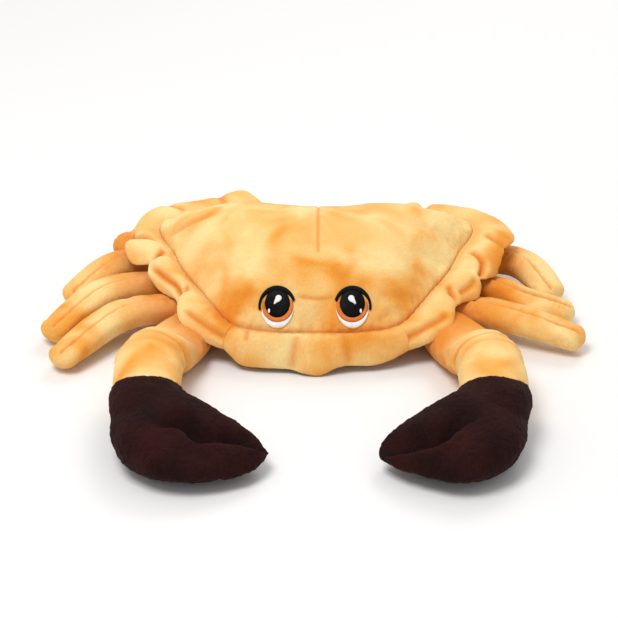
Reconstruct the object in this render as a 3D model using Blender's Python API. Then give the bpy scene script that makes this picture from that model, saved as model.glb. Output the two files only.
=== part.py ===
"""Soft toy crab: a stuffed body with a wavy sewn rim, eight legs, two arms, two claws and embroidered eyes.

Metres, +Z up, the face looks along -Y. The origin is the middle of the flat belly.
"""
import math

import bmesh
import bpy
from mathutils import Vector

MM = 0.001

# Shared clearances
GAP = 0.3 * MM
SEAM_GAP = 0.4 * MM

# Body: the sewn edge of the right half, front to back, as x, y and height
BODY_CENTRE_Y = 5 * MM
BODY_TOP = 70 * MM
BODY_SEAM = [
    (0, -70, 22), (30, -69, 22), (54, -63, 24), (68, -43, 28), (80, -22, 32),
    (97, 20, 37), (109, 54, 42), (92, 70, 40), (66, 79, 36), (34, 83, 31), (0, 84, 29),
]
BELLY_FLAT = 0.55

# Rim: thickness of the doubled plush, and how far its inner edge is sewn in
RIM_THICKNESS = 5.5 * MM
RIM_SEWN_IN = 7 * MM

# Rim edge: angle from the front, reach outward, drop below the body seam, and rise of the
# middle of the flap
RIM_FRONT_EDGE = [
    (-38, 11, 12, 0), (-32, 13, 18, 2), (-25, 14, 18, 3), (-14, 13, 18, 3), (-5, 17, 20, 3),
    (3, 17, 20, 3), (11, 14, 16, 3), (18, 12, 16, 3), (25, 12, 17, 3), (31, 11, 16, 2),
    (38, 11, 12, 0),
]
RIM_LEFT_EDGE = [
    (38, 11, 12, 0), (43, 18, 8, 1), (48, 25, 2, 2), (52, 26, -1, 2), (57, 23, -2, 2),
    (62, 19, 0, 2), (67, 16, 1, -1), (71, 14, 5, 1), (75, 15, 7, 3), (81, 18, 7, 3),
    (85, 20, 5, 3), (89, 21, 2, 2), (92, 18, -1, 1), (95, 14, 1, -2), (98, 19, 4, 1),
    (103, 25, 8, 3), (108, 24, 7, 2), (111, 20, 5, -2), (115, 17, 3, 0), (122, 23, 0, 1),
    (130, 21, -4, 1), (138, 18, -9, 1), (147, 18, -16, 0), (152, 15, -13, 0),
    (157, 12, -6, 0), (166, 14, 2, 0), (180, 16, 4, 0),
]
RIM_RIGHT_EDGE = [
    (38, 11, 12, 0), (44, 21, 7, 1), (49, 27, 5, 2), (54, 25, 2, 2), (59, 22, 0, 2),
    (64, 20, 1, 0), (68, 19, 4, -1), (73, 20, 7, 2), (78, 25, 8, 3), (83, 23, 5, 3),
    (87, 19, 4, -1), (91, 22, 7, 1), (95, 27, 9, 3), (101, 27, 6, 2), (106, 25, 1, 0),
    (111, 27, 4, 1), (117, 22, 3, 1), (124, 23, 1, 1), (130, 22, 0, 1), (135, 14, 1, -1),
    (139, 17, -4, 1), (145, 13, -1, 0), (152, 15, -5, 0), (160, 16, -1, 0),
    (170, 16, 3, 0), (180, 16, 4, 0),
]

# Legs: middle line of each, from inside the body to the tip
LEG_WIDTH = 26 * MM
LEG_HEIGHT = 20 * MM
LEG_SIZES = (0.76, 0.9, 1.0, 0.81)
LEGS = {
    "leg_left_1": [(-58, -6, 14), (-97, -20, 15.5), (-130, -37, 16), (-161, -79, 10)],
    "leg_left_2": [(-62, 10, 15), (-104, 11, 17), (-142, -5, 17), (-170, -42, 10)],
    "leg_left_3": [(-66, 34, 16), (-112, 45, 18), (-140, 34, 18), (-162, 9, 11)],
    "leg_left_4": [(-70, 56, 16), (-108, 73, 16), (-124, 81, 15), (-136, 87, 13)],
    "leg_right_1": [(58, -8, 14), (98, -20, 15), (132, -37, 15), (167, -53, 10.5)],
    "leg_right_2": [(62, 10, 15), (108, 8, 15), (142, -8, 12), (165, -13, 9.5)],
    "leg_right_3": [(66, 34, 16), (114, 49, 18), (142, 42, 18), (158, 13, 12)],
    "leg_right_4": [(70, 56, 16), (104, 72, 16), (116, 83, 14), (124, 95, 12)],
}

# Arms: middle line from inside the body to inside the claw, with half width and half height
ARM_ELBOW = 3
ARMS = {
    "left": [(-56, -14, 15, 17, 11), (-79, -43, 16, 19, 13), (-93, -74, 21, 20.5, 16),
             (-101, -108, 25, 21, 17.5), (-103, -132, 25, 21.5, 17), (-101, -158, 20, 19, 14)],
    "right": [(58, -14, 15, 17, 11), (83, -43, 16, 19.5, 13), (98, -76, 21, 21, 16),
              (106, -110, 25, 21, 17.5), (108, -132, 25, 21.5, 17), (107, -158, 20, 19, 14)],
}

# Claws: outline of the stuffed mitten seen from above, starting at the arm
CLAW_PALM_THICKNESS = 38 * MM
CLAW_TIP_THICKNESS = 24 * MM
CLAW_SLIT = 1.2 * MM
CLAWS = {
    "left": {
        "centre": (-90, -188),
        "outline": [(-100, -139), (-113, -150), (-119, -174), (-117, -203), (-104, -225),
                    (-82, -236), (-58, -233), (-39, -223), (-28, -208), (-28, -199),
                    (-44, -184), (-60, -172), (-73, -161), (-83, -148)],
        "slit": [(-16, -206), (-36, -207), (-56, -207), (-74, -205)],
    },
    "right": {
        "centre": (93, -187),
        "outline": [(105, -138), (89, -147), (78, -161), (62, -173), (47, -186), (37, -200),
                    (37, -208), (50, -222), (67, -232), (86, -236), (107, -226),
                    (121, -203), (123, -176), (119, -150)],
        "slit": [(25, -206), (46, -208), (64, -207), (80, -203)],
    },
}

# Eyes: place on the face, slope of the face there, and thread thickness
EYE_SPREAD = 49 * MM
EYE_FRONT = -60 * MM
EYE_HEIGHT = 38.5 * MM
EYE_LEAN = math.radians(30)
THREAD_THICKNESS = 1.2 * MM

# Embroidery of the left eye, in millimetres from the pupil's middle: arcs, each with its
# centre, half width and half height, first and last angle, and number of steps
EYE_ARCS = {
    "white": [((0, -1.6), (10.6, 14.2), 196, 352, 16), ((0.3, -1.3), (10.3, 10.6), 347, 200, 14)],
    "iris": [((0.3, -1.3), (9.9, 10.2), 166, 378, 18), ((0.1, -0.2), (8.2, 8.7), 384, 160, 16)],
    "lash": [((-0.1, -1.5), (11.7, 12.9), 21, 190, 18), ((-0.1, -1.5), (11.0, 10.4), 188, 24, 16)],
    "pupil": [((0.1, -0.2), (7.8, 8.3), 0, 345, 23)],
    "glint": [((0.8, 3.7), (2.1, 2.1), -40, 200, 7)],
    "dot": [((-5.3, -4.4), (0.8, 1.5), 0, 315, 7)],
}
GLINT_TAIL = [(-2.6, 0.4), (-1.4, 0.0)]


def srgb(hex_code):
    channels = [int(hex_code[i:i + 2], 16) / 255 for i in (0, 2, 4)]
    linear = [c / 12.92 if c <= 0.04045 else ((c + 0.055) / 1.055) ** 2.4 for c in channels]
    return (*linear, 1.0)


def material(name, hex_code, roughness):
    made = bpy.data.materials.new(name)
    made.use_nodes = True
    shader = made.node_tree.nodes["Principled BSDF"]
    shader.inputs["Base Color"].default_value = srgb(hex_code)
    shader.inputs["Roughness"].default_value = roughness
    shader.inputs["Metallic"].default_value = 0.0
    return made


def smooth_between(rows, at):
    """Value of the rows at a position in their first column, on a smooth line through them."""
    last = len(rows) - 1
    i = 0
    while i < last - 1 and at > rows[i + 1][0]:
        i += 1
    before, start = rows[max(i - 1, 0)], rows[i]
    end, after = rows[i + 1], rows[min(i + 2, last)]
    t = min(max((at - start[0]) / (end[0] - start[0]), 0.0), 1.0)
    values = []
    for b, s, e, a in zip(before[1:], start[1:], end[1:], after[1:]):
        into, out = (e - b) / 2, (a - s) / 2
        values.append((2 * t ** 3 - 3 * t ** 2 + 1) * s + (t ** 3 - 2 * t ** 2 + t) * into
                      + (3 * t ** 2 - 2 * t ** 3) * e + (t ** 3 - t ** 2) * out)
    return values


# Body seam by angle from the front, positive to the right
def seam_table():
    rows = []
    for x, y, z in BODY_SEAM:
        side, ahead = x * MM, BODY_CENTRE_Y - y * MM
        angle = math.degrees(math.atan2(side, ahead))
        rows.append((angle if angle >= 0 else angle + 360, math.hypot(side, ahead), z * MM))
    mirrored = [(-a, r, z) for a, r, z in rows[1:3]]
    beyond = [(360 - a, r, z) for a, r, z in rows[-3:-1]]
    return mirrored[::-1] + rows + beyond[::-1]


SEAM_ROWS = seam_table()


def seam_point(angle):
    turn = (angle + 180) % 360 - 180
    radius, height = smooth_between(SEAM_ROWS, abs(turn))
    way = math.radians(turn)
    return Vector((radius * math.sin(way), BODY_CENTRE_Y - radius * math.cos(way), height))


def seam_outward(angle):
    along = seam_point(angle + 5) - seam_point(angle - 5)
    return Vector((-along.y, along.x, 0)).normalized() * -1


def body_height(angle, reach, upper):
    """Height of the stuffed body at a share of the way from its centre to the seam."""
    edge = seam_point(angle).z
    if upper:
        sideways = math.sin(math.radians(angle)) ** 2
        fullness = 2.3 + 0.9 * sideways
        return BODY_TOP - (BODY_TOP - edge) * (1 - max(1 - reach ** fullness, 0) ** 0.9)
    out = max(reach - BELLY_FLAT, 0) / (1 - BELLY_FLAT)
    return edge * (1 - max(1 - out ** 2, 0) ** 0.62)


def new_object(name, bm, collection, paint=None):
    bmesh.ops.recalc_face_normals(bm, faces=bm.faces)
    mesh = bpy.data.meshes.new(name)
    bm.to_mesh(mesh)
    bm.free()
    made = bpy.data.objects.new(name, mesh)
    collection.objects.link(made)
    if paint:
        mesh.materials.append(paint)
    return made


def loft(name, rings, collection, paint=None):
    """Closed skin through rings of points, with a flat cap on each end."""
    bm = bmesh.new()
    made = [[bm.verts.new(p) for p in ring] for ring in rings]
    count = len(rings[0])
    for near, far in zip(made, made[1:]):
        for i in range(count):
            j = (i + 1) % count
            bm.faces.new((near[i], near[j], far[j], far[i]))
    bm.faces.new(made[0][::-1])
    bm.faces.new(made[-1])
    return new_object(name, bm, collection, paint)


def grown(piece, name, distance):
    """Cutter: the same piece with its skin moved outward."""
    bm = bmesh.new()
    bm.from_mesh(piece.data)
    bm.normal_update()
    moves = [v.normal * distance * v.calc_shell_factor() for v in bm.verts]
    for vert, move in zip(bm.verts, moves):
        vert.co += move
    made = new_object(name, bm, cutters)
    made.hide_render = True
    made.display_type = "WIRE"
    return made


def combine(piece, other, operation):
    """Applies an exact Boolean with another object."""
    step = piece.modifiers.new(operation.lower(), "BOOLEAN")
    step.operation = operation
    step.solver = "EXACT"
    step.object = other
    bpy.context.view_layer.objects.active = piece
    bpy.ops.object.modifier_apply(modifier=step.name)


def make_body():
    bm = bmesh.new()
    bmesh.ops.create_uvsphere(bm, u_segments=48, v_segments=20, radius=1)
    for vert in bm.verts:
        across = Vector((vert.co.x, vert.co.y))
        reach = min(across.length, 1.0)
        angle = math.degrees(math.atan2(across.x, -across.y))
        edge = seam_point(angle)
        centre = Vector((0, BODY_CENTRE_Y))
        flat = centre + (Vector((edge.x, edge.y)) - centre) * reach
        vert.co = (flat.x, flat.y, body_height(angle, reach, vert.co.z >= 0))
    return new_object("body", bm, crab, plush)


def rim_ring(edge_rows, angle, side, shift):
    """Cross-section of the doubled rim at one place along the body seam."""
    reach, drop, rise = [value * MM for value in smooth_between(edge_rows, angle)]
    seam = seam_point(angle * side)
    outward = seam_outward(angle * side)
    along = Vector((0, 0, 1)).cross(outward)
    middle = [seam - outward * RIM_SEWN_IN]
    for share in (0, 0.35, 0.7, 0.93):
        height = rise * 4 * share * (1 - share) - drop * share ** 1.3
        middle.append(seam + outward * reach * share ** 0.85 + Vector((0, 0, height)))
    upper, lower = [], []
    for i, point in enumerate(middle):
        run = middle[min(i + 1, len(middle) - 1)] - middle[max(i - 1, 0)]
        lift = along.cross(run).normalized()
        if lift.dot(along.cross(outward)) < 0:
            lift = -lift
        half = RIM_THICKNESS / 2 * (0.8 if i == len(middle) - 1 else 1.0)
        upper.append(point + lift * half)
        if i % 2 == 0:
            lower.append(point - lift * half)
    ahead = (middle[-1] - middle[-2]).normalized()
    tip = middle[-1] + ahead * RIM_THICKNESS * 0.45
    return [p + along * shift for p in upper + [tip] + lower[::-1]]


def make_rim(name, edge_rows, side):
    """Skin through a section at each row and one between each two rows."""
    angles = [row[0] for row in edge_rows]
    places = [angles[0]]
    for near, far in zip(angles, angles[1:]):
        places += [(near + far) / 2, far]
    rings = []
    for place in places:
        shift = 0
        if place == places[0]:
            shift = SEAM_GAP / 2 * side
        elif place == places[-1]:
            shift = -SEAM_GAP / 2 * side
        rings.append(rim_ring(edge_rows, place, side, shift))
    return loft(name, rings, crab, plush)


def tube_ring(stations, at, sides, forward=0.0, size=1.0):
    """Oval section across a middle line of points with half widths and half heights."""
    last = len(stations) - 1
    x, y, z, wide, high = along_line(stations, at)
    ahead = Vector(along_line(stations, min(at + 0.1, last))[:3])
    behind = Vector(along_line(stations, max(at - 0.1, 0))[:3])
    run = (ahead - behind).normalized()
    across = run.cross(Vector((0, 0, 1))).normalized()
    up = across.cross(run)
    return oval(Vector((x, y, z)) + run * forward, across * wide * size, up * high * size, sides)


def along_line(stations, at):
    return smooth_between([(i, *p) for i, p in enumerate(stations)], at)


def oval(middle, across, up, sides):
    turns = [2 * math.pi * (i + 0.5) / sides for i in range(sides)]
    return [middle + across * math.cos(t) + up * math.sin(t) for t in turns]


def make_leg(name, line):
    """Stuffed tube that ends in a rounded tip."""
    stations = []
    for (x, y, z), size in zip(line, LEG_SIZES):
        stations.append((x * MM, y * MM, z * MM, LEG_WIDTH / 2 * size, LEG_HEIGHT / 2 * size))
    last = len(stations) - 1
    rings = [tube_ring(stations, last * i / 8, 10) for i in range(9)]
    for forward, size in ((0.55, 0.84), (0.88, 0.5)):
        rings.append(tube_ring(stations, last, 10, LEG_HEIGHT / 2 * forward, size))
    return loft(name, rings, crab, plush)


def make_arm(side, line):
    """Upper arm and forearm, two tubes that meet at the elbow seam."""
    stations = [tuple(v * MM for v in row) for row in line]
    upper = [tube_ring(stations, ARM_ELBOW * i / 6, 16) for i in range(6)]
    upper.append(tube_ring(stations, ARM_ELBOW, 16, -SEAM_GAP / 2))
    fore = [tube_ring(stations, ARM_ELBOW, 16, SEAM_GAP / 2)]
    left = len(stations) - 1 - ARM_ELBOW
    fore += [tube_ring(stations, ARM_ELBOW + left * i / 4, 16) for i in range(1, 5)]
    return loft("upper_arm_" + side, upper, crab, plush), loft("forearm_" + side, fore, crab, plush)


def make_claw(side, shape):
    """Stuffed mitten, thick at the palm and thin at the tip, with a slit between its fingers."""
    centre = Vector(shape["centre"]) * MM
    points = [Vector(p) * MM for p in shape["outline"]]
    tip = min(points, key=lambda p: abs(p.x))
    rows = []
    for p in points:
        away = p - centre
        rows.append((math.degrees(math.atan2(away.y, away.x)), away.length))
    rows.sort()
    rows = [(a - 360, r) for a, r in rows[-2:]] + rows + [(a + 360, r) for a, r in rows[:2]]
    bm = bmesh.new()
    bmesh.ops.create_uvsphere(bm, u_segments=32, v_segments=14, radius=1)
    for vert in bm.verts:
        reach = min(math.hypot(vert.co.x, vert.co.y), 1.0)
        turn = math.degrees(math.atan2(vert.co.y, vert.co.x))
        away = smooth_between(rows, turn)[0] * reach
        spot = centre + Vector((math.cos(math.radians(turn)), math.sin(math.radians(turn)))) * away
        toward_tip = max((spot - centre).dot((tip - centre).normalized()), 0) / (tip - centre).length
        thick = CLAW_PALM_THICKNESS + (CLAW_TIP_THICKNESS - CLAW_PALM_THICKNESS) * toward_tip ** 1.3
        full = max(1 - reach ** 2, 0) ** 0.48
        side_of_middle = 1 if vert.co.z > 0 else -1
        vert.co = (spot.x, spot.y, thick / 2 * (1 + side_of_middle * full))
    claw = new_object("claw_" + side, bm, crab, plush_claw)
    return claw


def make_slit(side, shape):
    line = [Vector((x * MM, y * MM, 0)) for x, y in shape["slit"]]
    rings = []
    for i, point in enumerate(line):
        run = (line[min(i + 1, len(line) - 1)] - line[max(i - 1, 0)]).normalized()
        across = run.cross(Vector((0, 0, 1))) * CLAW_SLIT / 2
        low, high = Vector((0, 0, -CLAW_PALM_THICKNESS)), Vector((0, 0, CLAW_PALM_THICKNESS * 2))
        rings.append([point - across + low, point + across + low, point + across + high,
                      point - across + high])
    made = loft("slit_" + side, rings, cutters)
    made.hide_render = True
    made.display_type = "WIRE"
    return made


def arc(centre, half, first, last, count):
    """Points on an oval, in millimetres, from one angle to another."""
    turns = [math.radians(first + (last - first) * i / count) for i in range(count + 1)]
    return [(centre[0] + half[0] * math.cos(t), centre[1] + half[1] * math.sin(t)) for t in turns]


def eye_shapes():
    """Flat outline of each patch of the left eye."""
    shapes = {}
    for part, arcs in EYE_ARCS.items():
        shapes[part] = [point for row in arcs for point in arc(*row)]
    shapes["glint"] += GLINT_TAIL
    return shapes


def prism(name, outline, side, collection, paint=None, spread=0.0, depth=14 * MM):
    """Straight block through the face with an eye outline as its section."""
    facing = Vector((0, -math.cos(EYE_LEAN), math.sin(EYE_LEAN)))
    rising = Vector((0, math.sin(EYE_LEAN), math.cos(EYE_LEAN)))
    middle = Vector((side * EYE_SPREAD / 2, EYE_FRONT, EYE_HEIGHT))
    points = [Vector((u, v)) * MM for u, v in outline]
    heart = sum(points, Vector((0, 0))) / len(points)
    if spread:
        points = [p + (p - heart).normalized() * spread for p in points]
    rings = []
    for way in (-1, 1):
        rings.append([middle + Vector((-side * p.x, 0, 0)) + rising * p.y + facing * depth * way
                      for p in points])
    return loft(name, rings, collection, paint)


def make_eye(side, word):
    paints = {"white": thread_white, "iris": thread_orange, "lash": thread_black,
              "pupil": thread_black, "glint": thread_white, "dot": thread_white}
    shapes = eye_shapes()
    for part, outline in shapes.items():
        piece = prism("eye_" + part + "_" + word, outline, side, crab, paints[part])
        if part == "pupil":
            for gleam in ("glint", "dot"):
                hole = prism("hole_" + gleam + "_" + word, shapes[gleam], side, cutters, None,
                             GAP, 16 * MM)
                hole.hide_render = True
                hole.display_type = "WIRE"
                combine(piece, hole, "DIFFERENCE")
        combine(piece, eye_shell_outer, "INTERSECT")
        combine(piece, body_gap, "DIFFERENCE")


for old in list(bpy.data.objects):
    bpy.data.objects.remove(old)
crab = bpy.data.collections.new("plush_crab")
cutters = bpy.data.collections.new("cutters")
bpy.context.scene.collection.children.link(crab)
bpy.context.scene.collection.children.link(cutters)

plush = material("plush_yellow", "F0B35A", 0.95)
plush_claw = material("plush_brown", "33171A", 0.95)
thread_black = material("thread_black", "15110F", 0.55)
thread_orange = material("thread_orange", "E0813A", 0.55)
thread_white = material("thread_white", "F2EEF0", 0.55)

body = make_body()
body_gap = grown(body, "body_gap", GAP)
eye_shell_outer = grown(body, "eye_shell_outer", GAP + THREAD_THICKNESS)

rims = [make_rim("rim_front", RIM_FRONT_EDGE, 1),
        make_rim("rim_left", RIM_LEFT_EDGE, -1),
        make_rim("rim_right", RIM_RIGHT_EDGE, 1)]
legs = {name: make_leg(name, line) for name, line in LEGS.items()}
arms = {side: make_arm(side, line) for side, line in ARMS.items()}
claws = {side: make_claw(side, shape) for side, shape in CLAWS.items()}

for side, claw in claws.items():
    combine(arms[side][1], grown(claw, "claw_gap_" + side, GAP), "DIFFERENCE")
    combine(claw, make_slit(side, CLAWS[side]), "DIFFERENCE")
for side, rim in (("left", rims[1]), ("right", rims[2])):
    combine(arms[side][0], body_gap, "DIFFERENCE")
    combine(arms[side][0], grown(rim, "rim_gap_" + side, 2 * GAP), "DIFFERENCE")
for name, leg in legs.items():
    combine(leg, body_gap, "DIFFERENCE")
for side in arms:
    combine(legs["leg_" + side + "_1"], grown(arms[side][0], "arm_gap_" + side, GAP), "DIFFERENCE")
for rim in rims:
    combine(rim, body_gap, "DIFFERENCE")

make_eye(-1, "left")
make_eye(1, "right")
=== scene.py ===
import math

import bpy
import numpy as np
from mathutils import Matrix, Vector
from mathutils.bvhtree import BVHTree


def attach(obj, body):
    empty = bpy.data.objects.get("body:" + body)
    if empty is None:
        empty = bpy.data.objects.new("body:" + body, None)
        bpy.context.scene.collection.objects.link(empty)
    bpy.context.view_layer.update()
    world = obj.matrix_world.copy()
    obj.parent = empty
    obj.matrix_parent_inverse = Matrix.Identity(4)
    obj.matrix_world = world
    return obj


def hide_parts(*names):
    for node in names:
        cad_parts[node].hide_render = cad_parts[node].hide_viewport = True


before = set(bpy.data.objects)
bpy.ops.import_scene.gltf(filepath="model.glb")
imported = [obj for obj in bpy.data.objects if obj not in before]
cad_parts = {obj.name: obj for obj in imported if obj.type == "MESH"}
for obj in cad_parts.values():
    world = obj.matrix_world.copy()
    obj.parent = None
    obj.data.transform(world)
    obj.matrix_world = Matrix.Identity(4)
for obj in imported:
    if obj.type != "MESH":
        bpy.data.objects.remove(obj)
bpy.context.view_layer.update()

# Sizes are in millimetres until a mesh is written
MM = 0.001
GAP = 0.3
PILE_SIZE = 2.2
PILE_HEIGHT = 0.09

# Stuffing: pressure inside each skin, the steps that it is given, and the weight of a point
STUFFING_PRESSURE = 4
STUFFING_FRAMES = 20
STUFFING_WEIGHT = 0.2

# Body: the sewn edge of the right half, front to back, as x, y and height
BODY_CENTRE_Y = 5
BODY_TOP = 70
BODY_SEAM = [
    (0, -70, 22), (30, -69, 22), (54, -63, 24), (68, -43, 28), (80, -22, 32),
    (97, 20, 37), (109, 54, 42), (92, 70, 40), (66, 79, 36), (34, 83, 31), (0, 84, 29),
]
BELLY_FLAT = 0.55
BODY_SKIN_SPACING = 3.3
BODY_SWELL = 1.6
SEAM_PINCH = 0.9
BODY_PUCKER = 7
CORNER_CREASES = [
    [(-101, 33, 42), (-95, 30, 48), (-83, 28, 56), (-72, 26, 61), (-55, 26, 65)],
    [(104, 44, 44), (95, 47, 52), (80, 50, 58), (66, 52, 61)],
]
TOP_DART = [(1.5, 60, 66), (1.5, 16, 70), (1.4, -15, 68), (1.4, -34, 60)]
BROW_CREASE = [(-14, -56, 42.5), (-6, -57, 41), (3, -57.3, 40.6), (14, -56.6, 42)]

# Rim edge: angle from the front, reach outward, drop below the body seam, and rise of the
# middle of the flap
RIM_THICKNESS = 5.5
RIM_INSET = 4
RIM_PUCKER = 8
RIM_RADIUS = 90
RIM_END_ROWS = 3
SEAM_GAP = 0.4
RIM_FRONT_EDGE = [
    (-38, 11, 12, 0), (-32, 13, 18, 2), (-25, 14, 18, 3), (-14, 13, 18, 3), (-5, 17, 20, 3),
    (3, 17, 20, 3), (11, 14, 16, 3), (18, 12, 16, 3), (25, 12, 17, 3), (31, 11, 16, 2),
    (38, 11, 12, 0),
]
RIM_LEFT_EDGE = [
    (38, 11, 12, 0), (43, 18, 8, 1), (48, 25, 2, 2), (52, 26, -1, 2), (57, 23, -2, 2),
    (62, 19, 0, 2), (67, 16, 1, -1), (71, 14, 5, 1), (75, 15, 7, 3), (81, 18, 7, 3),
    (85, 20, 5, 3), (89, 21, 2, 2), (92, 18, -1, 1), (95, 14, 1, -2), (98, 19, 4, 1),
    (103, 25, 8, 3), (108, 24, 7, 2), (111, 20, 5, -2), (115, 17, 3, 0), (122, 23, 0, 1),
    (130, 21, -4, 1), (138, 18, -9, 1), (147, 18, -16, 0), (152, 15, -13, 0),
    (157, 12, -6, 0), (166, 14, 2, 0), (180, 16, 4, 0),
]
RIM_RIGHT_EDGE = [
    (38, 11, 12, 0), (44, 21, 7, 1), (49, 27, 5, 2), (54, 25, 2, 2), (59, 22, 0, 2),
    (64, 20, 1, 0), (68, 19, 4, -1), (73, 20, 7, 2), (78, 25, 8, 3), (83, 23, 5, 3),
    (87, 19, 4, -1), (91, 22, 7, 1), (95, 27, 9, 3), (101, 27, 6, 2), (106, 25, 1, 0),
    (111, 27, 4, 1), (117, 22, 3, 1), (124, 23, 1, 1), (130, 22, -1, 1), (135, 17, -2, 0),
    (139, 18, -5, 1), (145, 14, -3, 0), (152, 15, -5, 0), (160, 16, -1, 0),
    (170, 16, 3, 0), (180, 16, 4, 0),
]
# Folds in the rim: the line of each as angle and share of the way to the edge, then its
# depth and width
RIM_FRONT_FOLDS = [
    ([(-31, 0.0), (-30.5, 0.5)], 1.0, 1.6),
    ([(-9, 0.25), (-11, 0.95)], 0.9, 3.0),
    ([(14, 0.2), (15, 0.95)], 0.9, 3.0),
]
RIM_LEFT_FOLDS = [
    ([(104.5, 0.08), (107.5, 0.45), (111.5, 0.98)], 3.2, 2.6),
    ([(100, 0.1), (97, 0.5), (93.5, 1.0)], 2.6, 2.2),
    ([(91, 0.88), (86, 0.76), (80, 0.7), (74, 0.72), (69, 0.85)], 3.6, 2.0),
    ([(71, 0.25), (68, 0.6), (66.5, 1.0)], 1.6, 2.0),
    ([(53, 0.78), (48, 0.68), (43, 0.64), (39, 0.7)], 1.7, 2.2),
    ([(127, 0.2), (124, 0.9)], 1.2, 3.0),
    ([(141, 0.15), (139, 0.9)], 1.2, 3.0),
]
RIM_RIGHT_FOLDS = [
    ([(99.5, 0.12), (95.5, 0.5), (89, 0.98)], 3.0, 2.2),
    ([(73, 0.2), (69, 0.6), (66, 1.0)], 2.2, 2.0),
    ([(83, 0.8), (78, 0.74), (73, 0.8)], 1.6, 2.2),
    ([(54, 0.8), (49, 0.7), (44, 0.66), (39, 0.72)], 1.8, 2.2),
    ([(109, 0.2), (107, 0.55), (106, 0.98)], 1.6, 2.6),
    ([(134, 0.15), (135, 0.95)], 1.6, 2.6),
]

# Legs: middle line of each, from inside the body to the tip
LEG_WIDTH = 26
LEG_HEIGHT = 20
LEG_SIZES = (0.76, 0.9, 1.0, 0.81)
LEG_SEAM = math.radians(104)
LEG_SWELL = 1.0
LEGS = {
    "leg_left_1": [(-58, -6, 14), (-97, -20, 15.5), (-130, -37, 16), (-161, -79, 10)],
    "leg_left_2": [(-62, 10, 15), (-104, 11, 17), (-142, -5, 17), (-170, -42, 10)],
    "leg_left_3": [(-66, 34, 16), (-112, 45, 18), (-140, 34, 18), (-162, 9, 11)],
    "leg_left_4": [(-70, 56, 16), (-108, 73, 16), (-124, 81, 15), (-136, 87, 13)],
    "leg_right_1": [(58, -8, 14), (98, -20, 15), (132, -37, 15), (167, -53, 10.5)],
    "leg_right_2": [(62, 14, 15), (108, 14, 16.5), (142, -6, 13), (165, -13, 9.5)],
    "leg_right_3": [(66, 34, 16), (114, 49, 18), (142, 42, 18), (158, 13, 12)],
    "leg_right_4": [(70, 56, 16), (104, 72, 16), (116, 83, 14), (124, 95, 12)],
}

# Arms: middle line from inside the body to inside the claw, with half width and half height
ARM_ELBOW = 3
ARM_SWELL = 1.2
ARMS = {
    "left": [(-56, -14, 12, 17, 9.5), (-79, -43, 12, 19, 11), (-92, -75, 14.5, 20.5, 13),
             (-101, -108, 24.5, 21, 17.5), (-103, -134, 25, 20.8, 17.3),
             (-101, -168, 23, 20, 16.5)],
    "right": [(58, -14, 12, 17, 9.5), (83, -43, 12, 19.5, 11), (97, -77, 14.5, 21, 13),
              (106, -110, 24.5, 21, 17.5), (108, -134, 25, 20.8, 17.3),
              (106, -168, 23, 20, 16.5)],
}

# Claws: outline of the stuffed mitten seen from above, starting at the arm, the slit between
# its fingers, and the cuff over the forearm with its half width and half height
CLAW_PALM_THICKNESS = 38
CLAW_TIP_THICKNESS = 24
CLAW_SKIN_SPACING = 3
CLAW_SWELL = 2.0
SLIT_STEPS = 60
CLAWS = {
    "left": {
        "centre": (-90, -188),
        "outline": [(-100, -139), (-113, -150), (-119.5, -175), (-117.5, -203), (-104, -225),
                    (-82, -236), (-58, -233), (-39, -223), (-28, -208), (-28, -199),
                    (-44, -184), (-60, -172), (-73, -161), (-83, -148)],
        "slit": [(-24, -204), (-38, -209), (-52, -213), (-62, -215.5), (-69, -216),
                 (-74, -211), (-80, -208), (-88, -209), (-98, -213)],
        "cuff": [(-102, -147, 24, 21.3, 18), (-101.5, -166, 23, 22.3, 18),
                 (-97, -190, 20, 21, 16)],
    },
    "right": {
        "centre": (93, -187),
        "outline": [(105, -138), (89, -147), (78, -161), (62, -173), (47, -186), (37, -200),
                    (37, -208), (50, -222), (67, -232), (86, -236), (107, -226),
                    (121.5, -203), (124, -177), (119, -150)],
        "slit": [(32, -206), (46, -212), (59, -216), (68, -217), (75, -215), (80, -210),
                 (87, -206), (98, -204)],
        "cuff": [(107, -147, 24, 21.3, 18), (106.5, -166, 23, 22.3, 18),
                 (101, -190, 20, 21, 16)],
    },
}

# Eyes: place on the face, slope of the face there, and the thread that they are sewn with
EYE_SPREAD = 48.2
EYE_MIDDLE = -0.7
EYE_FRONT = -60
EYE_HEIGHT = 38.5
EYE_LEAN = math.radians(30)
THREAD_THICKNESS = 1.2
THREAD_WIDTH = 0.55
CRESCENT_THREADS = 75
# Embroidery of the left eye, from the pupil's middle: arcs, each with its centre, half width
# and half height, first and last angle
EYE_CRESCENTS = {
    "white": [((0, -1.6), (10.6, 14.2), 196, 352), ((0.3, -1.3), (10.2, 10.5), 200, 347)],
    "iris": [((0.3, -1.3), (9.9, 10.2), 166, 378), ((0.1, -0.2), (8.1, 8.6), 160, 384)],
    "lash": [((-0.1, -1.5), (12.1, 13.5), 190, 18), ((-0.1, -1.5), (10.5, 9.9), 192, 16)],
}
EYE_OVALS = {
    "pupil": ((0.1, 0.5), (8.0, 9.3)),
    "glint": ((0.8, 3.7), (2.1, 2.1)),
    "dot": ((-5.3, -4.4), (0.8, 1.5)),
}
GLINT_TAIL = [(-2.3, 1.0), (-2.3, 0.0), (-1.4, -0.4), (-0.6, 0.6)]
# Where the pupil's threads leave room for the highlights: place and radius
GLINT_ROOM = [((0.8, 3.7), 2.0), ((-0.5, 2.0), 0.9), ((-1.4, 0.6), 0.9), ((-5.3, -4.4), 1.1)]

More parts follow.
